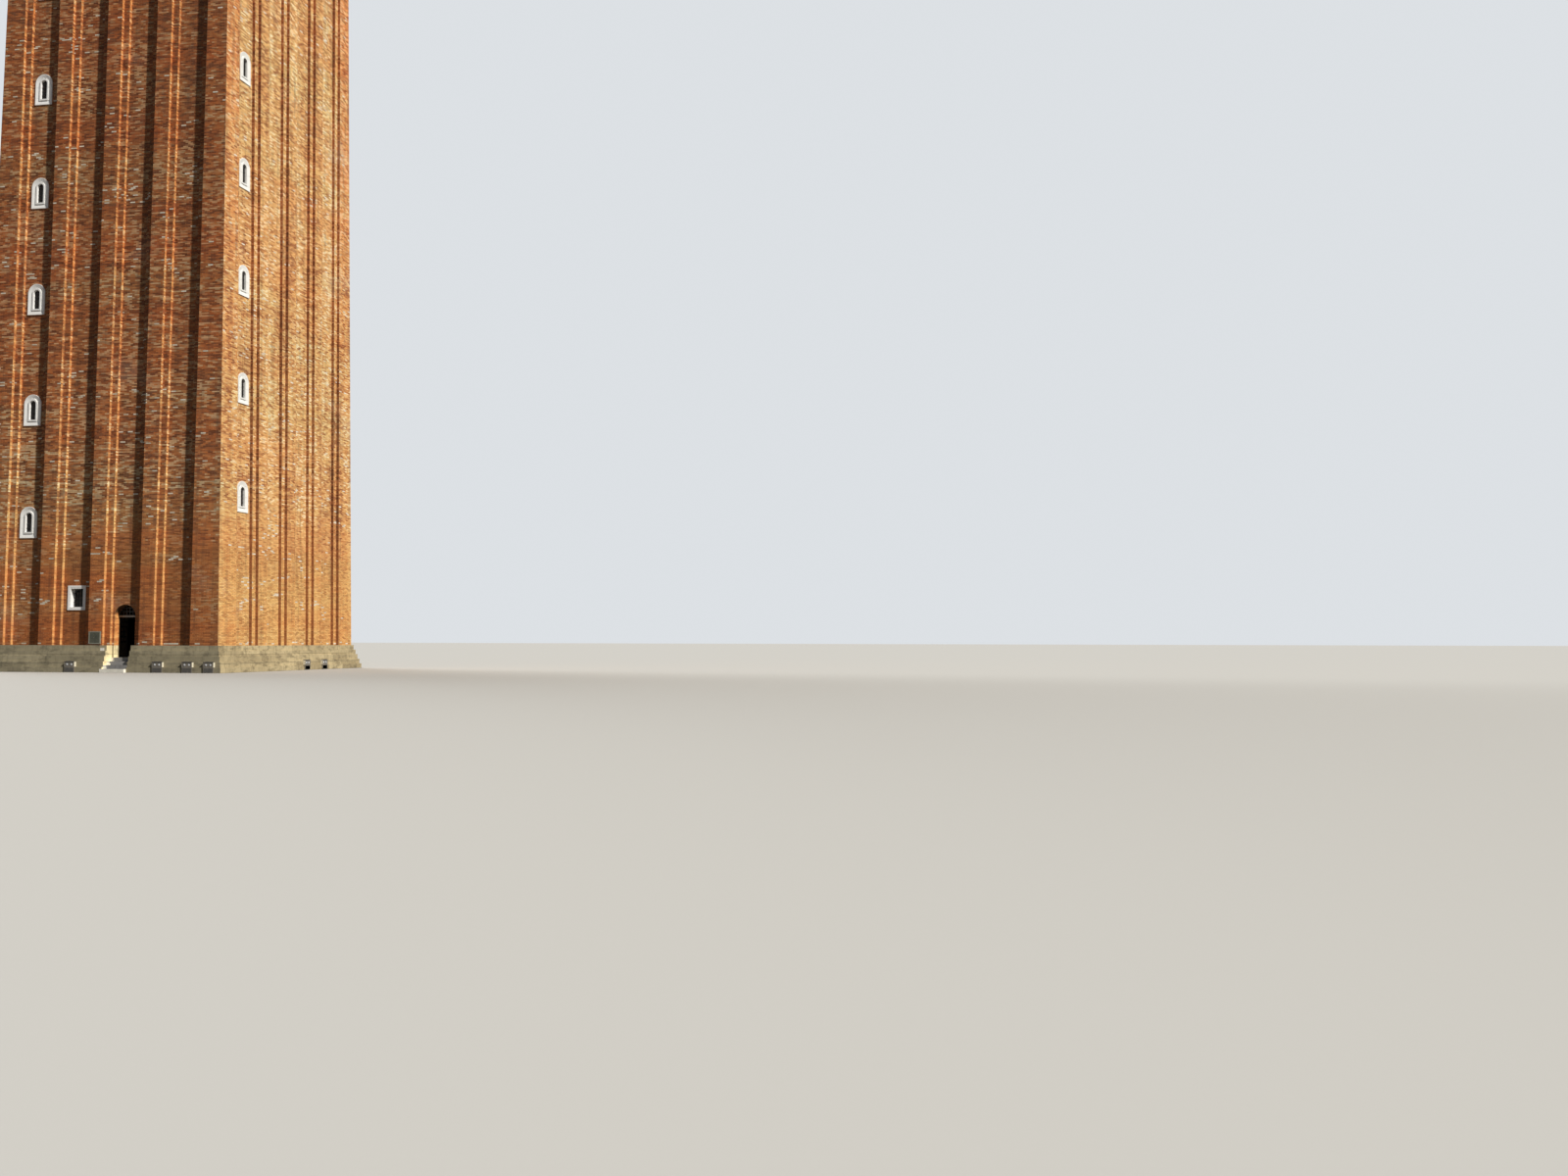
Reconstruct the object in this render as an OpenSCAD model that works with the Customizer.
/* [Shaft] */
// Width of the square shaft at the ground line
base_w = 1280; // [1240:5:1340]
// Height at which the brick shaft ends
shaft_top_z = 5000; // [4960:10:5100]
// How far each face leans in, per 1000 of height
batter = 13.8; // [10:0.2:16]
// Thickness of the brick walls
wall_t = 140; // [120:2:150]
// Height at which the front wall over the doorway ends and the shaft wall begins
front_lift_z = 600; // [520:10:640]

/* [Recesses] */
// Number of tall recesses on each face
recess_n = 4; // [4:1:4]
// Width of a recess at its outer edge
recess_w = 190; // [180:1:196]
// Width of the pilaster between two recesses
pilaster_w = 75.5; // [68:0.5:80]
// Depth of each of the two steps into a recess
step_d = 15; // [10:1:18]
// Width of the ledge between the two steps
ledge_w = 30; // [24:1:32]
// Height at which the round heads of the recesses spring
recess_spring_z = 4780; // [4770:5:4820]

/* [Arched windows] */
// Height of the front's lowest window on the even pitch
first_sill_z = 643; // [636:1:660]
// Rise from one window to the next on the same face
window_pitch = 532; // [520:1:540]
// Rise from a face's window to the next face's window
quarter_rise = 133; // [128:1:136]
// Width of the stone frame
frame_w = 92; // [86:1:98]
// Height of the stone frame to the top of its round head
frame_h = 153; // [146:1:160]
// Width of the thin rim round the frame
rim_w = 2.5; // [2:0.25:4]
// How far the splay falls from the rim to the lip
splay_d = 4.5; // [3:0.5:5.5]
// Width of the raised lip round the slot
lip_w = 7.5; // [6:0.5:8.5]
// Width of the slot
slot_w = 33; // [30:1:36]
// Width of the frame that lies on the brick round the reveal
band_w = 10; // [8:1:12]
// How far the rim stands out from the brick
band_out = 4; // [4:0.25:6]
// How far the lip stands out from the brick
lip_out = 3.5; // [2:0.25:4]
// How deep the frame lines the reveal
lip_in = 36; // [20:1:50]

/* [Base window] */
// Height of the rectangular window's frame above the ground
base_window_z = 296; // [290:1:310]
// Width of its frame
base_window_w = 96; // [90:1:104]
// Height of its frame
base_window_h = 118; // [110:1:128]
// Width of its outer band
base_band_w = 9; // [7:1:12]
// Width of its inner band
base_lip_w = 6; // [5:0.5:8]
// Shift of the window from the middle of its recess
base_window_shift = 8; // [-4:1:10]

/* [Doorway] */
// Clear width of the brick doorway
door_w = 108; // [100:1:110]
// Height at which the doorway's round head springs
door_spring_z = 268; // [262:1:276]
// Height of the threshold above the ground
threshold_z = 70; // [60:1:76]
// Distance of the door frame behind the foot of the shaft's face
door_setback = 67; // [62:1:70]
// Extra width each side behind the door frame, for the open leaves
door_rebate = 10; // [10:0.5:12]
// Width of the notch for the steps in the plinth
notch_w = 126; // [120:1:130]
// Number of risers up to the threshold
riser_n = 4; // [4:1:4]
// Depth of each tread
tread_d = 25; // [22:1:27]

/* [Door] */
// Thickness of the iron door frame
door_frame_t = 8; // [6:0.5:9]
// Width of the door frame's stiles and ring
door_stile_w = 14; // [13:0.5:15]
// Height of the transom bar
transom_h = 10; // [8:0.5:11]
// Thickness of a leaf
leaf_t = 4; // [3:0.25:4]
// Distance from the side of the reveal to a leaf's hinge axis
hinge_inset = 3; // [3:0.1:3.4]
// Radius of a hinge eye
eye_r = 2.4; // [2.2:0.1:2.5]
// Radius of a hinge pin
pin_r = 1.1; // [0.9:0.1:1.2]
// Gap round a moving leaf
leaf_gap = 1; // [0.8:0.1:1.2]
// Height of the solid lower panel of a leaf
kick_h = 72; // [60:1:80]
// Thickness of the grille bars in the round head
grille_t = 2.4; // [2:0.2:3]

/* [Plinth] */
// Height of one stone course of the plinth
course_h = 25.6; // [24:0.1:28]
// Number of courses
course_n = 5; // [5:1:5]
// How far each course steps out past the one above
course_out = 8; // [5:0.5:9]

/* [Fittings] */
// Width of the service panel on the middle pilaster
panel_w = 62; // [54:1:66]
// Height of the service panel
panel_h = 60; // [54:1:66]
// Thickness of the service panel
panel_t = 5; // [4:0.5:7]
// Width of a floodlight
flood_w = 51; // [44:1:60]
// Height of a floodlight
flood_h = 51; // [44:1:56]
// How far a floodlight stands out from the plinth's lowest course
flood_d = 5; // [4:0.5:12]

/* [Shaft cornice] */
// Height of the stone cornice on the shaft
cornice_h = 180; // [160:5:200]
// How far it stands out from the shaft's top
cornice_out = 62; // [50:1:70]
// Distance between the dentils of the cornices
dentil_pitch = 48; // [40:1:60]
// Width of a dentil
dentil_w = 26; // [20:1:30]
// Thickness of the belfry floor
belfry_floor_t = 40; // [30:1:50]

/* [Belfry] */
// Width of the belfry over its arcades
belfry_w = 1140; // [1120:2:1160]
// Width of a corner pier
pier_w = 150; // [140:1:160]
// Diameter of a column's shaft
column_d = 54; // [48:1:58]
// Height of the piers and columns, with their capitals
order_h = 600; // [560:5:640]
// Height of an arcade wall over the capitals
arcade_h = 270; // [250:5:290]
// Thickness of an arcade wall
arcade_t = 110; // [100:1:120]
// Height of capitals and bases
capital_h = 46; // [40:1:52]
// Thickness of the belfry ceiling
ceiling_t = 40; // [30:1:50]
// Height of the entablature over the ceiling
entablature_h = 150; // [130:5:170]
// How far the entablature stands out from the belfry
entablature_out = 70; // [60:1:80]

/* [Balustrade] */
// Height of the balustrade
balustrade_h = 110; // [100:1:120]
// Thickness of its rails and posts
rail_t = 26; // [22:1:30]
// Balusters between two posts
baluster_n = 7; // [6:1:8]

/* [Bells] */
// Mouth radius of the largest bell
bell_r = 62; // [56:1:66]
// Distance between neighbouring bells
bell_pitch = 150; // [144:1:156]
// Height of the bell frame's long beams above the belfry floor
bell_beam_z = 430; // [400:5:460]
// Thickness of the bell frame's beams
bell_beam_t = 34; // [28:1:38]
// Half the distance between the long beams
bell_frame_half = 120; // [110:1:130]
// Length of the long beams past the outermost bells' middles
bell_frame_end = 92; // [86:1:100]

/* [Attic and spire] */
// Width of the attic
attic_w = 960; // [940:2:980]
// Height of the attic walls
attic_h = 1110; // [1080:5:1140]
// Thickness of the attic walls
attic_t = 90; // [80:1:100]
// Width of the attic's corner pilasters
attic_pilaster_w = 120; // [100:2:140]
// How far pilasters, bands and frames stand out from the attic, and how deep its panels are sunk
attic_relief = 12; // [8:0.5:16]
// Height of the attic's foot and head bands
attic_band_h = 70; // [50:2:90]
// Width of the sunk panel on each side of the attic
attic_panel_w = 480; // [420:5:520]
// Height of that panel
attic_panel_h = 700; // [620:5:760]
// Width of the panel's frame
attic_frame_w = 34; // [26:1:42]
// Height of the attic cornice
attic_cornice_h = 140; // [120:5:160]
// How far the attic cornice stands out
attic_cornice_out = 60; // [50:1:70]
// Height of the pyramid spire
spire_h = 1860; // [1800:10:1900]
// Width of the spire at its foot
spire_w = 980; // [960:2:1000]
// Thickness of the spire's sloping shell
spire_t = 40; // [30:1:50]
// Width of the spire at its tip
spire_tip_w = 44; // [36:1:50]
// Radius of the ball on the spire
ball_r = 38; // [34:1:44]
// Height of the neck that carries the ball
finial_neck_h = 12; // [8:1:16]
// Height of the weathervane figure above the ball, to the top of its head
figure_h = 376; // [360:1:390]

/* [Hidden] */
$fn = 48;

// Overlap of a cutting shape past the face that it cuts
cut = 2;
// Overlap of fused shapes within one piece
lap = 1;
// Colours
brick = "#a9714f";
stone = "#e4dfd2";
grey_stone = "#b9b3a2";
iron = "#33302d";
copper = "#6f9c88";
bronze = "#6d5a34";
gilding = "#c9a040";

// Shaft
lean = atan(batter / 1000);
plinth_h = course_n * course_h;
shaft_top_w = base_w - 2 * shaft_top_z * batter / 1000;
recess_pitch = recess_w + pilaster_w;
floor_w = recess_w - 2 * ledge_w;
floor_d = 2 * step_d;
function recess_x(i) = (i - (recess_n - 1) / 2) * recess_pitch;
window_x = recess_x(0);
base_window_x = recess_x(1) + base_window_shift;
door_x = recess_x(2);

// Windows: those on the front stand this much above the even pitch, and the last shift holds for all higher
front_shift = [2, 18, 32, 28, 16];
last_sill_z = recess_spring_z - frame_h + frame_w / 2;
function face_sill(k) = first_sill_z + k * quarter_rise;
function window_n(k) = 1 + floor((last_sill_z - face_sill(k)) / window_pitch);
function shift(k, n) = k == 0 ? front_shift[min(n, len(front_shift) - 1)] : 0;
function sill(k, n) = face_sill(k) + n * window_pitch + shift(k, n);

// Doorway, from the outer face inwards
door_y = -base_w / 2 + door_setback;
recess_floor_y = -base_w / 2 + floor_d;
inner_y = -base_w / 2 + wall_t;
door_r = door_w / 2;
rebate_r = door_r + door_rebate;
frame_back_y = door_y + door_frame_t;
hinge_x = rebate_r - hinge_inset;
hinge_y = frame_back_y + leaf_gap + leaf_t / 2;
leaf_near = eye_r + 1.1 * leaf_gap;
leaf_far = hinge_x - leaf_gap / 2;
transom_z = door_spring_z + 3 - transom_h;
leaf_z = threshold_z + leaf_gap;
leaf_top_z = transom_z + transom_h / 2;
eye_h = 8;
hinge_zs = [threshold_z + 22, leaf_top_z - 26];
pin_gap = 0.2;
bracket_h = 6;
riser_h = threshold_z / riser_n;

// Levels above the shaft
floor_z = shaft_top_z + cornice_h;
belfry_z = floor_z + belfry_floor_t;
spring_z = belfry_z + order_h;
arcade_top_z = spring_z + arcade_h;
terrace_z = arcade_top_z + ceiling_t + entablature_h;
attic_top_z = terrace_z + attic_h;
spire_z = attic_top_z + attic_cornice_h;
spire_top_z = spire_z + spire_h;
ball_z = spire_top_z + finial_neck_h + ball_r;
figure_z = ball_z + ball_r + finial_neck_h / 2;

// Belfry
arch_n = 4;
pier_flare = 8;
column_pad = column_d + 10;
arch_w = (belfry_w - 2 * pier_w - (arch_n - 1) * column_pad) / arch_n;
arch_pitch = arch_w + column_pad;
function arch_x(i) = (i - (arch_n - 1) / 2) * arch_pitch;
column_y = -belfry_w / 2 + arcade_t / 2;
attic_seat_y = -attic_w / 2 + attic_t;

// Long triangle in plan that holds one side's share of a mitred square
module side_share(z0, z1) {
    translate([0, 0, z0])
        linear_extrude(z1 - z0)
            polygon([[0, 0], [-base_w, -base_w], [base_w, -base_w]]);
}

// Front side turned to side k: 0 front, 1 right, 2 back, 3 left
module on_side(k) {
    rotate([0, 0, 90 * k]) children();
}

// Drawing plane of the front's leaning face: x along it, y up it, z outwards
module on_face() {
    translate([0, -base_w / 2, 0]) rotate([90 - lean, 0, 0]) children();
}

// Profile of points (y, z) run along x and mitred at both ends
module mitred_bar(points, z0, z1) {
    intersection() {
        side_share(z0, z1);
        translate([-base_w, 0, 0]) rotate([90, 0, 90]) linear_extrude(2 * base_w) polygon(points);
    }
}

module mitred_ring(points, z0, z1) {
    for (k = [0:3]) on_side(k) mitred_bar(points, z0, z1);
}

// Upright slot with a round head, centred on x = 0
module arch_shape(w, h, y0 = 0) {
    translate([-w / 2, y0]) square([w, h - w / 2 - y0]);
    translate([0, h - w / 2]) circle(d = w);
}

// Plinth
function plinth_y(i) = -base_w / 2 - (course_n - i) * course_out;
plinth_profile = concat(
    [[inner_y, 0]],
    [for (i = [0:course_n - 1]) each [[plinth_y(i), i * course_h], [plinth_y(i), (i + 1) * course_h]]],
    [[inner_y, plinth_h]]
);

// Plan of the doorway: the notch for the steps, the reveal and the rebate
module doorway_plan() {
    translate([door_x, 0]) {
        translate([-notch_w / 2, recess_floor_y - 4 * tread_d]) square([notch_w, 4 * tread_d]);
        translate([-door_r, recess_floor_y - cut]) square([door_w, door_y - recess_floor_y + cut]);
        translate([-rebate_r, door_y]) square([2 * rebate_r, inner_y - door_y + 10]);
    }
}

module plinth_side(k) {
    color(grey_stone) on_side(k) mitred_bar(plinth_profile, 0, plinth_h);
}

// Two blocks of courses, left and right of the doorway
module plinth_front() {
    color(grey_stone)
        difference() {
            mitred_bar(plinth_profile, 0, plinth_h);
            translate([0, 0, -cut]) linear_extrude(plinth_h + 2 * cut) doorway_plan();
        }
}

module plinth_right() { plinth_side(1); }
module plinth_back() { plinth_side(2); }
module plinth_left() { plinth_side(3); }

// Steps in the notch, with the threshold that runs in under the door
module door_steps() {
    nose_y = recess_floor_y - tread_d / 2;
    profile = concat(
        [[inner_y, 0]],
        [for (i = [0:riser_n - 1])
            let (y = nose_y - (riser_n - 1 - i) * tread_d)
            each [[y, i * riser_h], [y, (i + 1) * riser_h]]],
        [[inner_y, threshold_z]]
    );
    color(stone)
        intersection() {
            translate([-base_w, 0, 0]) rotate([90, 0, 90]) linear_extrude(2 * base_w) polygon(profile);
            linear_extrude(threshold_z) doorway_plan();
        }
}

module ground_floor() {
    color(grey_stone) translate([inner_y, inner_y, 0]) cube([-2 * inner_y, -2 * inner_y, threshold_z]);
}

// One mitred wall of the leaning shaft, plain
module wall_slab(z0, z1) {
    intersection() {
        side_share(z0, z1);
        on_face() translate([-base_w, z0 - 50, -wall_t]) cube([2 * base_w, z1 - z0 + 100, wall_t]);
    }
}

// Stepped recesses of one face, open at the foot and round at the head
module recess_cuts() {
    on_face()
        for (i = [0:recess_n - 1])
            translate([recess_x(i), 0, 0]) {
                translate([0, 0, -step_d]) linear_extrude(step_d + cut)
                    arch_shape(recess_w, recess_spring_z + recess_w / 2);
                translate([0, 0, -floor_d]) linear_extrude(floor_d + cut)
                    arch_shape(floor_w, recess_spring_z + floor_w / 2);
            }
}

// Arched outline of a window frame, inset by m on every side
module frame_arch(m) {
    translate([0, m]) arch_shape(frame_w - 2 * m, frame_h - 2 * m);
}

module window_cuts(k) {
    on_face()
        for (n = [0:window_n(k) - 1])
            translate([window_x, sill(k, n), -wall_t - cut]) linear_extrude(wall_t + cut) frame_arch(band_w);
}

module shaft_wall(k, z0) {
    color(brick)
        on_side(k)
            difference() {
                wall_slab(z0, shaft_top_z);
                recess_cuts();
                window_cuts(k);
            }
}

module shaft_wall_front() { shaft_wall(0, front_lift_z); }
module shaft_wall_right() { shaft_wall(1, plinth_h); }
module shaft_wall_back() { shaft_wall(2, plinth_h); }
module shaft_wall_left() { shaft_wall(3, plinth_h); }

// Piece of the front wall from x0 to x1 and from z0 to z1, with its recesses
module front_piece(x0, x1, z0, z1) {
    difference() {
        intersection() {
            wall_slab(z0, z1);
            translate([x0, -base_w, 0]) cube([x1 - x0, base_w, shaft_top_z]);
        }
        recess_cuts();
    }
}

module wall_beside_door(x0, x1) {
    color(brick)
        difference() {
            front_piece(x0, x1, plinth_h, door_spring_z);
            linear_extrude(door_spring_z + cut) doorway_plan();
        }
}

module front_wall_left_of_door() { wall_beside_door(0, door_x); }
module front_wall_right_of_door() { wall_beside_door(door_x, base_w); }

// Round doorway head of radius r, run from y0 to y1
module door_head(r, y0, y1) {
    translate([door_x, y1, door_spring_z]) rotate([90, 0, 0]) cylinder(r = r, h = y1 - y0);
}

module base_window_hole() {
    on_face()
        translate([base_window_x, base_window_z, 0])
            inset_block(base_window_w, base_window_h, base_band_w, -wall_t - cut, 0);
}

module front_wall_with_window() {
    color(brick)
        difference() {
            front_piece(-base_w, 0, plinth_h, front_lift_z);
            base_window_hole();
        }
}

module front_wall_over_door() {
    color(brick)
        difference() {
            front_piece(0, base_w, door_spring_z, front_lift_z);
            door_head(door_r, -base_w, door_y + cut);
            door_head(rebate_r, door_y, inner_y + 20);
        }
}

// Room over the splay: a trough between rim and lip up to the spring, and half a cone over it
module splay_cut() {
    spring = frame_h - frame_w / 2;
    foot_r = slot_w / 2 + lip_w;
    foot_z = band_out - splay_d;
    rim_r = frame_w / 2 - rim_w;
    top_z = band_out + cut;
    intersection() {
        translate([0, spring, 0]) rotate([90, 0, 0]) linear_extrude(spring)
            polygon([[-foot_r, foot_z], [foot_r, foot_z], [rim_r, band_out], [rim_r, top_z], [-rim_r, top_z],
                [-rim_r, band_out]]);
        translate([-frame_w, 0, 0]) rotate([90, 0, 90]) linear_extrude(2 * frame_w)
            polygon([[rim_w, band_out], [frame_w / 2 - foot_r, foot_z], [spring, foot_z], [spring, top_z],
                [rim_w, top_z]]);
    }
    translate([0, spring, 0]) rotate_extrude(angle = 180)
        polygon([[0, foot_z], [foot_r, foot_z], [rim_r, band_out], [rim_r, top_z], [0, top_z]]);
}

// Arched frame with its back on z = 0: rim, splay, raised lip and a lining that reaches into the reveal
module arched_frame() {
    slot_inset = (frame_w - slot_w) / 2;
    lip_foot = band_out - splay_d - lap;
    difference() {
        union() {
            difference() {
                union() {
                    linear_extrude(band_out) frame_arch(0);
                    translate([0, 0, -lip_in]) linear_extrude(lip_in + lap) frame_arch(band_w);
                }
                splay_cut();
            }
            translate([0, 0, lip_foot]) linear_extrude(lip_out - lip_foot) frame_arch(slot_inset - lip_w);
        }
        translate([0, 0, -lip_in - cut]) linear_extrude(lip_in + band_out + 2 * cut) frame_arch(slot_inset);
    }
}

module window_frames(k) {
    color(stone)
        on_side(k)
            on_face()
                for (n = [0:window_n(k) - 1]) translate([window_x, sill(k, n), -floor_d]) arched_frame();
}

// Block of width w and height h centred on x = 0, inset by m on every side
module inset_block(w, h, m, z0, z1) {
    translate([-w / 2 + m, m, z0]) cube([w - 2 * m, h - 2 * m, z1 - z0]);
}

module base_window_frame() {
    w = base_window_w;
    h = base_window_h;
    inner = base_band_w + base_lip_w;
    color(stone)
        on_face()
            translate([base_window_x, base_window_z, -floor_d])
                difference() {
                    union() {
                        inset_block(w, h, 0, 0, band_out);
                        inset_block(w, h, base_band_w, -lip_in, band_out);
                    }
                    inset_block(w, h, base_band_w, lip_out, band_out + cut);
                    inset_block(w, h, inner, -lip_in - cut, band_out + cut);
                }
}

module window_frames_front() {
    window_frames(0);
    base_window_frame();
}

module window_frames_right() { window_frames(1); }
module window_frames_back() { window_frames(2); }
module window_frames_left() { window_frames(3); }

// Door frame: ring, stiles, transom, grille and hinge pintles
module door_frame() {
    clear_r = rebate_r - door_stile_w;
    head_r = clear_r + cut / 2;
    color(iron)
        translate([door_x, 0, 0]) {
            difference() {
                translate([0, frame_back_y, 0]) rotate([90, 0, 0]) linear_extrude(door_frame_t)
                    arch_shape(2 * rebate_r, door_spring_z + rebate_r, threshold_z);
                translate([-clear_r, door_y - cut, threshold_z - cut])
                    cube([2 * clear_r, door_frame_t + 2 * cut, transom_z - threshold_z + cut]);
                intersection() {
                    translate([0, frame_back_y + cut, door_spring_z]) rotate([90, 0, 0])
                        cylinder(r = clear_r, h = door_frame_t + 2 * cut);
                    translate([-clear_r, door_y - cut, transom_z + transom_h])
                        cube([2 * clear_r, door_frame_t + 2 * cut, 2 * rebate_r]);
                }
            }
            intersection() {
                translate([0, frame_back_y, door_spring_z]) rotate([90, 0, 0])
                    cylinder(r = head_r, h = door_frame_t);
                union() {
                    for (i = [-2:2])
                        translate([i * clear_r / 3 - grille_t / 2, door_y + 2, transom_z + transom_h - 1])
                            cube([grille_t, grille_t, rebate_r]);
                    for (j = [1:2])
                        translate([-rebate_r, door_y + 2, transom_z + transom_h + j * clear_r / 3])
                            cube([2 * rebate_r, grille_t, grille_t]);
                }
            }
            for (side = [-1, 1])
                for (z = hinge_zs)
                    translate([side * hinge_x, 0, z]) {
                        translate([-eye_r, frame_back_y - lap, -bracket_h])
                            cube([2 * eye_r, hinge_y + eye_r - frame_back_y + lap, bracket_h - pin_gap]);
                        translate([0, hinge_y, -bracket_h]) cylinder(r = pin_r, h = bracket_h + eye_h);
                    }
        }
}

// Leaf as it stands closed, with its hinge axis on z and the leaf along x
module closed_leaf() {
    leaf_w = leaf_far - leaf_near;
    rail = 5;
    pane_n = 5;
    pane_z0 = leaf_z + kick_h + rail;
    pane_h = (leaf_top_z - pane_z0) / pane_n - rail;
    pane_w = (leaf_w - 3 * rail) / 2;
    sink = leaf_t * 0.35;
    difference() {
        union() {
            translate([leaf_near, -leaf_t / 2, leaf_z]) cube([leaf_w, leaf_t, leaf_top_z - leaf_z]);
            for (z = hinge_zs)
                translate([0, 0, z]) {
                    cylinder(r = eye_r, h = eye_h);
                    translate([0, -leaf_t / 2, 0]) cube([leaf_near + lap, leaf_t, eye_h]);
                }
        }
        for (z = hinge_zs) translate([0, 0, z - cut]) cylinder(r = pin_r + pin_gap, h = eye_h + 2 * cut);
        for (y = [-leaf_t / 2 - cut, leaf_t / 2 - sink]) {
            translate([leaf_near + rail, y, leaf_z + rail])
                cube([leaf_w - 2 * rail, sink + cut, kick_h - rail]);
            for (c = [0:1])
                for (r = [0:pane_n - 1])
                    translate([leaf_near + rail + c * (pane_w + rail), y, pane_z0 + r * (pane_h + rail)])
                        cube([pane_w, sink + cut, pane_h]);
        }
    }
}

module door_leaf_left() {
    color(iron) translate([door_x - hinge_x, hinge_y, 0]) rotate([0, 0, 90]) closed_leaf();
}

module door_leaf_right() {
    color(iron) translate([door_x + hinge_x, hinge_y, 0]) mirror([1, 0, 0]) rotate([0, 0, 90]) closed_leaf();
}

module service_panel() {
    rim = 5;
    color("#9aa096")
        on_face()
            translate([0, plinth_h + 6, 0])
                difference() {
                    inset_block(panel_w, panel_h, 0, 0, panel_t);
                    inset_block(panel_w, panel_h, rim, panel_t - 2, panel_t + cut);
                }
}

// Box lamp seated on the plinth's lowest ledge, hanging down before its foot, with two sunk lenses
module floodlight() {
    y0 = plinth_y(0) - flood_d;
    lens_r = flood_w / 8;
    lens_x = flood_w * 0.22;
    lens_sink = 3;
    difference() {
        translate([-flood_w / 2, 0, 0]) rotate([90, 0, 90]) linear_extrude(flood_w)
            polygon([[y0, 0], [plinth_y(0), 0], [plinth_y(0), course_h], [plinth_y(1), course_h],
                [plinth_y(1), flood_h], [y0, flood_h]]);
        for (x = [-lens_x, lens_x])
            translate([x, y0 + lens_sink, (course_h + flood_h) / 2]) rotate([90, 0, 0])
                cylinder(r = lens_r, h = lens_sink + cut);
    }
}

front_lights = [-97, 359, 512, 621];
right_lights = [90, 268];

module floodlights() {
    color("#8d8f8b") {
        for (x = front_lights) translate([x, 0, 0]) floodlight();
        on_side(1) for (x = right_lights) translate([x, 0, 0]) floodlight();
    }
}

// Cornice profile of four plain steps with a hollow between, from y = y1 out by d
function cornice_profile(y0, y1, d, z0, h) = concat(
    [[y0, z0], [y1, z0], [y1, z0 + h * 0.12], [y1 - d * 0.2, z0 + h * 0.12], [y1 - d * 0.2, z0 + h * 0.3]],
    [for (a = [0:15:90]) [y1 - d * (0.2 + 0.5 * (1 - cos(a))), z0 + h * (0.3 + 0.3 * sin(a))]],
    [[y1 - d * 0.8, z0 + h * 0.6], [y1 - d * 0.8, z0 + h * 0.82], [y1 - d, z0 + h * 0.82], [y1 - d, z0 + h]],
    [[y0, z0 + h]]
);

// Cornice ring from y0 in to y1 out, with a row of dentils under its crown
module dentilled_cornice(y0, y1, d, z0, h) {
    run = -y1 + d * 0.8;
    n = floor(2 * run / dentil_pitch);
    step = 2 * run / n;
    mitred_ring(cornice_profile(y0, y1, d, z0, h), z0, z0 + h);
    for (k = [0:3])
        on_side(k)
            for (i = [0:n - 1])
                translate([-run + (i + 0.5) * step - dentil_w / 2, y1 - d * 0.94, z0 + h * 0.64])
                    cube([dentil_w, d * 0.14 + lap, h * 0.18 + lap]);
}

module shaft_cornice() {
    y1 = -shaft_top_w / 2;
    color(stone) dentilled_cornice(y1 + wall_t, y1, cornice_out, shaft_top_z, cornice_h);
}

module square_slab(w, z0, t) {
    translate([-w / 2, -w / 2, z0]) cube([w, w, t]);
}

module belfry_floor() {
    color(grey_stone) square_slab(shaft_top_w + 2 * cornice_out, floor_z, belfry_floor_t);
}

// Square pier with a base and a capital, centred on the z axis
module pier(w, flare) {
    translate([-w / 2 + flare, -w / 2 + flare, 0]) cube([w - 2 * flare, w - 2 * flare, order_h]);
    for (z = [0, order_h - capital_h]) translate([-w / 2, -w / 2, z]) cube([w, w, capital_h]);
    for (z = [capital_h, order_h - capital_h - capital_h / 2])
        translate([-w / 2 + flare / 2, -w / 2 + flare / 2, z]) cube([w - flare, w - flare, capital_h / 2]);
}

module belfry_corner_piers() {
    c = belfry_w / 2 - pier_w / 2;
    color(stone) for (k = [0:3]) on_side(k) translate([-c, -c, belfry_z]) pier(pier_w, pier_flare);
}

// Round column with a square plinth, a ring and a flared capital
module column() {
    s = column_pad / 2;
    r = column_d / 2;
    translate([-s, -s, 0]) cube([2 * s, 2 * s, capital_h / 2]);
    rotate_extrude()
        polygon(concat(
            [[0, 1], [s * 0.95, 1], [s * 0.95, capital_h * 0.7], [r, capital_h]],
            [[r * 0.9, order_h - capital_h * 1.6], [r * 1.02, order_h - capital_h * 1.5]],
            [for (a = [0:15:90]) [r * 0.9 + (s - r * 0.9) * (1 - cos(a)), order_h - capital_h * (1.4 - sin(a))]],
            [[s * 0.98, order_h - 1], [0, order_h - 1]]
        ));
    translate([-s, -s, order_h - capital_h * 0.4]) cube([2 * s, 2 * s, capital_h * 0.4]);
}

module belfry_columns() {
    color(stone)
        for (k = [0:3])
            on_side(k)
                for (i = [0:arch_n - 2])
                    translate([arch_x(i) + arch_pitch / 2, column_y, belfry_z]) column();
}

// Arcade wall of one side, with four round arches and raised rings round them
module belfry_arcade(k) {
    ring = 16;
    ring_out = 6;
    y1 = -belfry_w / 2;
    color(stone)
        on_side(k)
            difference() {
                union() {
                    intersection() {
                        side_share(spring_z, arcade_top_z);
                        translate([-base_w, y1, spring_z]) cube([2 * base_w, arcade_t, arcade_h]);
                    }
                    for (i = [0:arch_n - 1])
                        intersection() {
                            translate([arch_x(i), y1 + lap, spring_z]) rotate([90, 0, 0])
                                cylinder(r = arch_w / 2 + ring, h = ring_out + lap);
                            translate([-base_w, y1 - ring, spring_z]) cube([2 * base_w, 2 * ring, arcade_h]);
                        }
                }
                for (i = [0:arch_n - 1])
                    translate([arch_x(i), y1 + arcade_t + cut, spring_z]) rotate([90, 0, 0])
                        cylinder(r = arch_w / 2, h = arcade_t + ring_out + 2 * cut);
            }
}

module belfry_arcade_front() { belfry_arcade(0); }
module belfry_arcade_right() { belfry_arcade(1); }
module belfry_arcade_back() { belfry_arcade(2); }
module belfry_arcade_left() { belfry_arcade(3); }

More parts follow.
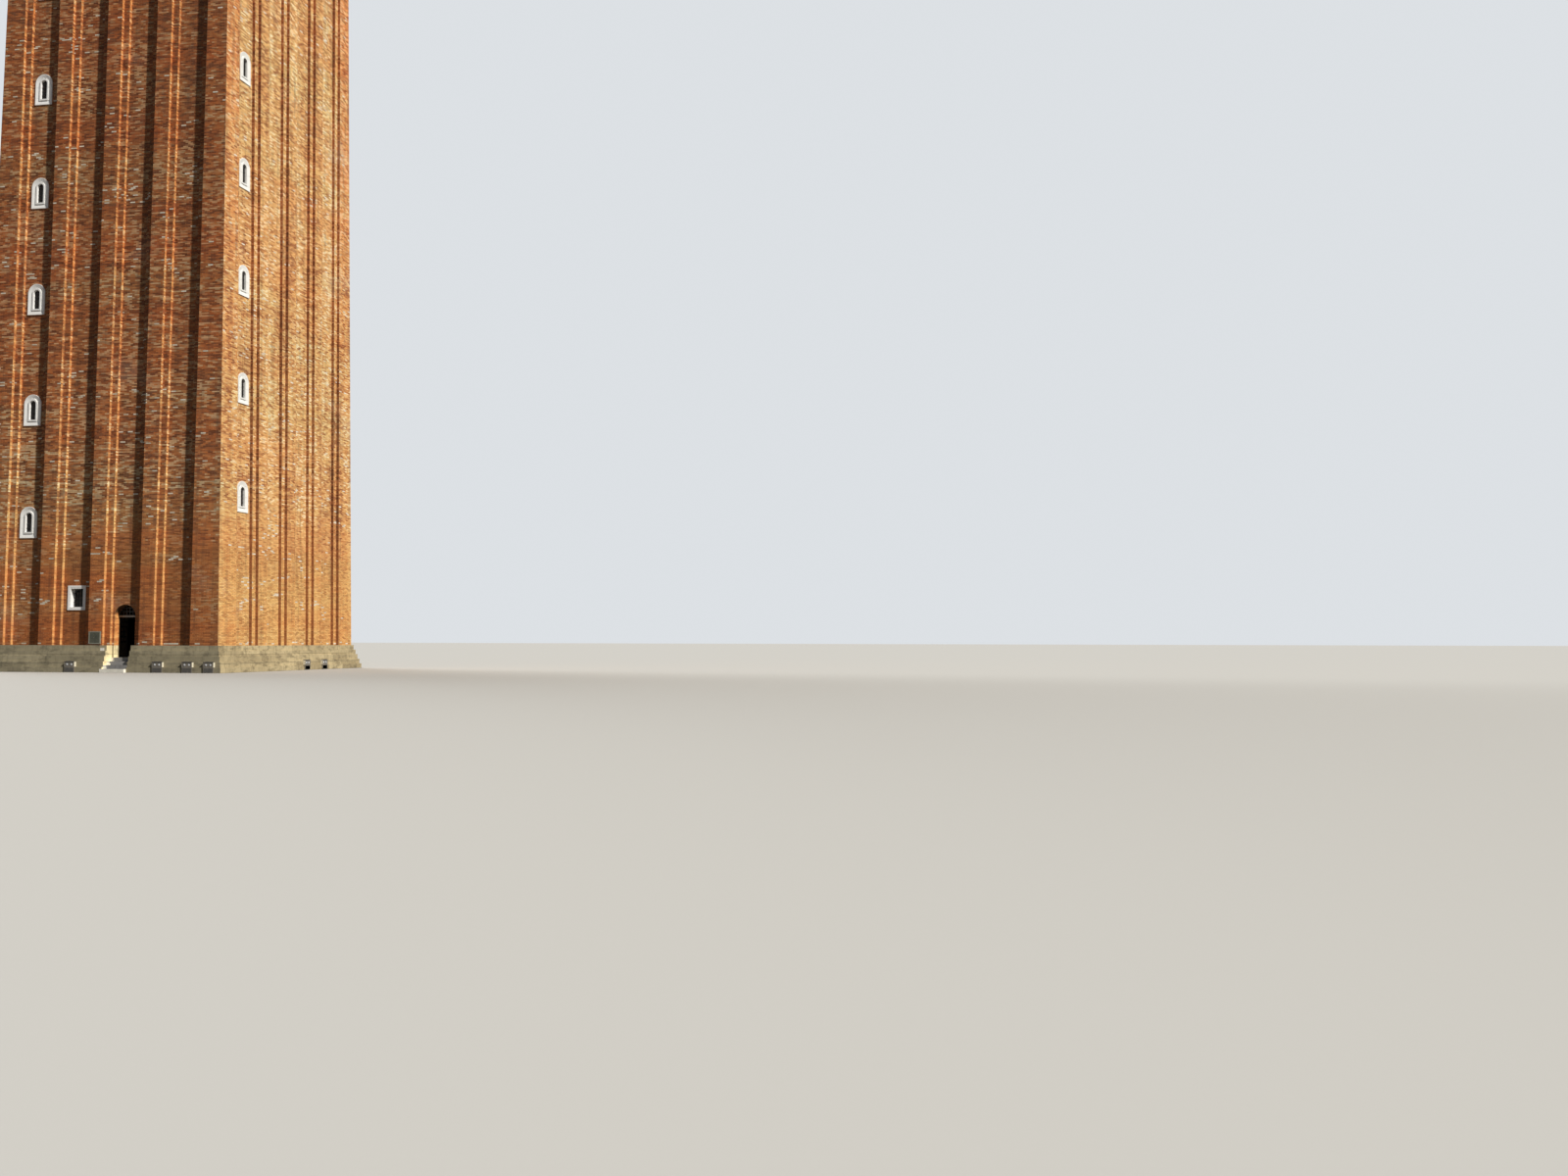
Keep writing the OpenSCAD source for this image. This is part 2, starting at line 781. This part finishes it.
module belfry_ceiling() {
    color(stone) square_slab(belfry_w, arcade_top_z, ceiling_t);
}

module entablature() {
    z0 = arcade_top_z + ceiling_t;
    color(stone) dentilled_cornice(attic_seat_y, -belfry_w / 2, entablature_out, z0, entablature_h);
}

// Turned baluster on the z axis, h tall
module baluster(h) {
    r = rail_t * 0.36;
    rotate_extrude($fn = 24)
        polygon([
            [0, -1], [r, -1], [r, h * 0.1], [r * 0.5, h * 0.16], [r, h * 0.36], [r * 0.45, h * 0.7],
            [r * 0.45, h * 0.84], [r, h * 0.9], [r, h + 1], [0, h + 1]
        ]);
}

module balustrade() {
    half = belfry_w / 2 + entablature_out - rail_t - 12;
    rail_h = 14;
    bays = 4;
    bay = 2 * half / bays;
    step = (bay - rail_t) / (baluster_n + 1);
    color(stone)
        translate([0, 0, terrace_z])
            for (k = [0:3]) on_side(k) {
                for (z = [0, balustrade_h - rail_h])
                    translate([-half - rail_t / 2, -half - rail_t / 2, z])
                        cube([2 * half + rail_t, rail_t, rail_h]);
                for (b = [0:bays - 1]) {
                    translate([-half + b * bay - rail_t / 2, -half - rail_t / 2, 0])
                        cube([rail_t, rail_t, balustrade_h]);
                    for (n = [1:baluster_n])
                        translate([-half + b * bay + rail_t / 2 + n * step, -half, rail_h])
                            baluster(balustrade_h - 2 * rail_h);
                }
            }
}

// Bells hang in one row from headstocks that lie on two long beams
bell_scales = [0.7, 0.85, 1, 0.8, 0.65];
headstock_z = belfry_z + bell_beam_z + bell_beam_t - lap;
function bell_x(i) = (i - 2) * bell_pitch;

module bell_frame() {
    half_l = 2 * bell_pitch + bell_frame_end;
    t = bell_beam_t;
    color("#5b4632")
        translate([0, 0, belfry_z]) {
            for (x = [-half_l + t, -half_l / 3, half_l / 3, half_l - t])
                for (y = [-bell_frame_half, bell_frame_half])
                    translate([x - t / 2, y - t / 2, 0]) cube([t, t, bell_beam_z + lap]);
            for (y = [-bell_frame_half, bell_frame_half])
                translate([-half_l, y - t / 2, bell_beam_z]) cube([2 * half_l, t, t]);
            for (x = [-half_l + t, half_l - t])
                translate([x - t / 2, -bell_frame_half, bell_beam_z]) cube([t, 2 * bell_frame_half, t]);
            for (i = [0:4])
                translate([bell_x(i) - t / 2, -bell_frame_half - t / 2, headstock_z - belfry_z])
                    cube([t, 2 * bell_frame_half + t, t]);
        }
}

// Bell of mouth radius r under z = 0, with its crown and clapper
module bell(r) {
    h = 1.6 * r;
    crown = 0.25 * r;
    wall = 0.09 * r;
    outer = [[1, 0], [0.96, 0.08], [0.8, 0.26], [0.67, 0.5], [0.6, 0.76], [0.52, 0.93], [0.34, 1]];
    translate([0, 0, -h - crown]) {
        rotate_extrude()
            polygon(concat(
                [for (p = outer) [p[0] * r, p[1] * h]],
                [[0, h], [0, h - 2 * wall], [0.34 * r - wall, h - 2 * wall]],
                [for (i = [4:-1:1]) [outer[i][0] * r - wall, outer[i][1] * h]],
                [[0.94 * r, 0]]
            ));
        translate([-crown / 2, -crown, h - 1]) cube([crown, 2 * crown, crown + 1]);
        translate([0, 0, 0.1 * h]) cylinder(r = 0.06 * r, h = 0.8 * h);
        translate([0, 0, 0.12 * h]) sphere(r = 0.16 * r);
    }
}

module hung_bell(i) {
    color(bronze) translate([bell_x(i), 0, headstock_z]) bell(bell_r * bell_scales[i]);
}

module great_bell() { hung_bell(2); }
module side_bells() { for (i = [0, 1, 3, 4]) hung_bell(i); }

// Raised work on the attic: foot band, head band, corner pilasters and the panel's frame
module attic_dressings() {
    y1 = -attic_w / 2 - attic_relief;
    t = attic_relief + lap;
    for (z = [terrace_z, attic_top_z - attic_band_h])
        translate([-base_w, y1, z]) cube([2 * base_w, t, attic_band_h]);
    for (x = [y1, -y1 - attic_pilaster_w]) translate([x, y1, terrace_z]) cube([attic_pilaster_w, t, attic_h]);
    translate([0, y1, terrace_z + attic_h / 2])
        rotate([-90, 0, 0]) linear_extrude(t)
            difference() {
                square([attic_panel_w + 2 * attic_frame_w, attic_panel_h + 2 * attic_frame_w], center = true);
                square([attic_panel_w, attic_panel_h], center = true);
            }
}

// Attic wall with its dressings and one sunk panel
module attic_wall(k) {
    y1 = -attic_w / 2;
    color(brick)
        on_side(k)
            difference() {
                intersection() {
                    side_share(terrace_z, attic_top_z);
                    union() {
                        translate([-base_w, y1, terrace_z]) cube([2 * base_w, attic_t, attic_h]);
                        attic_dressings();
                    }
                }
                translate([-attic_panel_w / 2, y1 - cut, terrace_z + attic_h / 2 - attic_panel_h / 2])
                    cube([attic_panel_w, attic_relief + cut, attic_panel_h]);
            }
}

module attic_wall_front() { attic_wall(0); }
module attic_wall_right() { attic_wall(1); }
module attic_wall_back() { attic_wall(2); }
module attic_wall_left() { attic_wall(3); }

module attic_cornice() {
    y1 = -attic_w / 2 - attic_relief;
    color(stone) dentilled_cornice(attic_seat_y, y1, attic_cornice_out, attic_top_z, attic_cornice_h);
}

// Hollow four-sided spire
module spire() {
    half_diagonal = sqrt(2) / 2;
    foot_r = spire_w * half_diagonal;
    tip_r = spire_tip_w * half_diagonal;
    inner_r = (spire_w - 2 * spire_t) * half_diagonal;
    color(copper)
        translate([0, 0, spire_z])
            rotate([0, 0, 45])
                difference() {
                    cylinder(h = spire_h, r1 = foot_r, r2 = tip_r, $fn = 4);
                    translate([0, 0, -lap]) cylinder(h = spire_h * 0.9, r1 = inner_r, r2 = 2, $fn = 4);
                }
}

// Ball between a spreading neck and a collar for the figure's rod
module finial_ball() {
    collar_r = ball_r / 3;
    color(gilding) {
        translate([0, 0, ball_z]) sphere(r = ball_r);
        translate([0, 0, spire_top_z])
            cylinder(h = finial_neck_h + ball_r / 2, r1 = spire_tip_w / 2, r2 = spire_tip_w / 4);
        translate([0, 0, ball_z]) cylinder(h = figure_z - ball_z, r = collar_r);
    }
}

// Half outline of the figure's robe, as shares of its height
robe = [[0, 0], [0.13, 0], [0.12, 0.06], [0.075, 0.3], [0.06, 0.42], [0.085, 0.56], [0.07, 0.64], [0.025, 0.67],
    [0.025, 0.7], [0, 0.7]];
// Outline of a wing seen from behind, from its root at the shoulder
wing = [[0, 0], [0.08, 0.12], [0.2, 0.21], [0.3, 0.17], [0.31, 0.02], [0.24, -0.2], [0.13, -0.33], [0.03, -0.12]];
figure_feet = 0.1;
figure_head_r = 0.055;

// Arm of two tapering lengths from the shoulder, ending in a hand
module arm(h, lift) {
    rotate([0, lift, 0]) {
        cylinder(r1 = 0.03 * h, r2 = 0.022 * h, h = 0.16 * h);
        translate([0, 0, 0.16 * h]) sphere(r = 0.024 * h);
        translate([0, 0, 0.16 * h]) rotate([0, -lift / 2, 0]) {
            cylinder(r1 = 0.021 * h, r2 = 0.014 * h, h = 0.13 * h);
            translate([0, 0, 0.13 * h]) sphere(r = 0.02 * h);
        }
    }
}

// Winged figure on a short rod: robe, head, one raised arm, one lowered arm and two wings
module weathervane_figure() {
    h = figure_h / (figure_feet + 0.75 + figure_head_r);
    color(gilding)
        translate([0, 0, figure_z]) {
            cylinder(r = 8, h = h * 0.2);
            translate([0, 0, h * figure_feet]) rotate_extrude() polygon(h * robe);
            translate([0, 0, h * (figure_feet + 0.75)]) sphere(r = h * figure_head_r);
            translate([h * 0.05, 0, h * 0.7]) arm(h, 48);
            translate([-h * 0.05, 0, h * 0.7]) arm(h, -142);
            for (side = [-1, 1])
                scale([side, 1, 1])
                    translate([h * 0.03, h * 0.075, h * 0.62])
                        rotate([90, 0, 0]) linear_extrude(h * 0.035) polygon(h * wing);
        }
}

plinth_front();
plinth_right();
plinth_back();
plinth_left();
door_steps();
ground_floor();
front_wall_with_window();
front_wall_left_of_door();
front_wall_right_of_door();
front_wall_over_door();
shaft_wall_front();
shaft_wall_right();
shaft_wall_back();
shaft_wall_left();
window_frames_front();
window_frames_right();
window_frames_back();
window_frames_left();
door_frame();
door_leaf_left();
door_leaf_right();
service_panel();
floodlights();
shaft_cornice();
belfry_floor();
belfry_corner_piers();
belfry_columns();
belfry_arcade_front();
belfry_arcade_right();
belfry_arcade_back();
belfry_arcade_left();
belfry_ceiling();
entablature();
balustrade();
bell_frame();
great_bell();
side_bells();
attic_wall_front();
attic_wall_right();
attic_wall_back();
attic_wall_left();
attic_cornice();
spire();
finial_ball();
weathervane_figure();
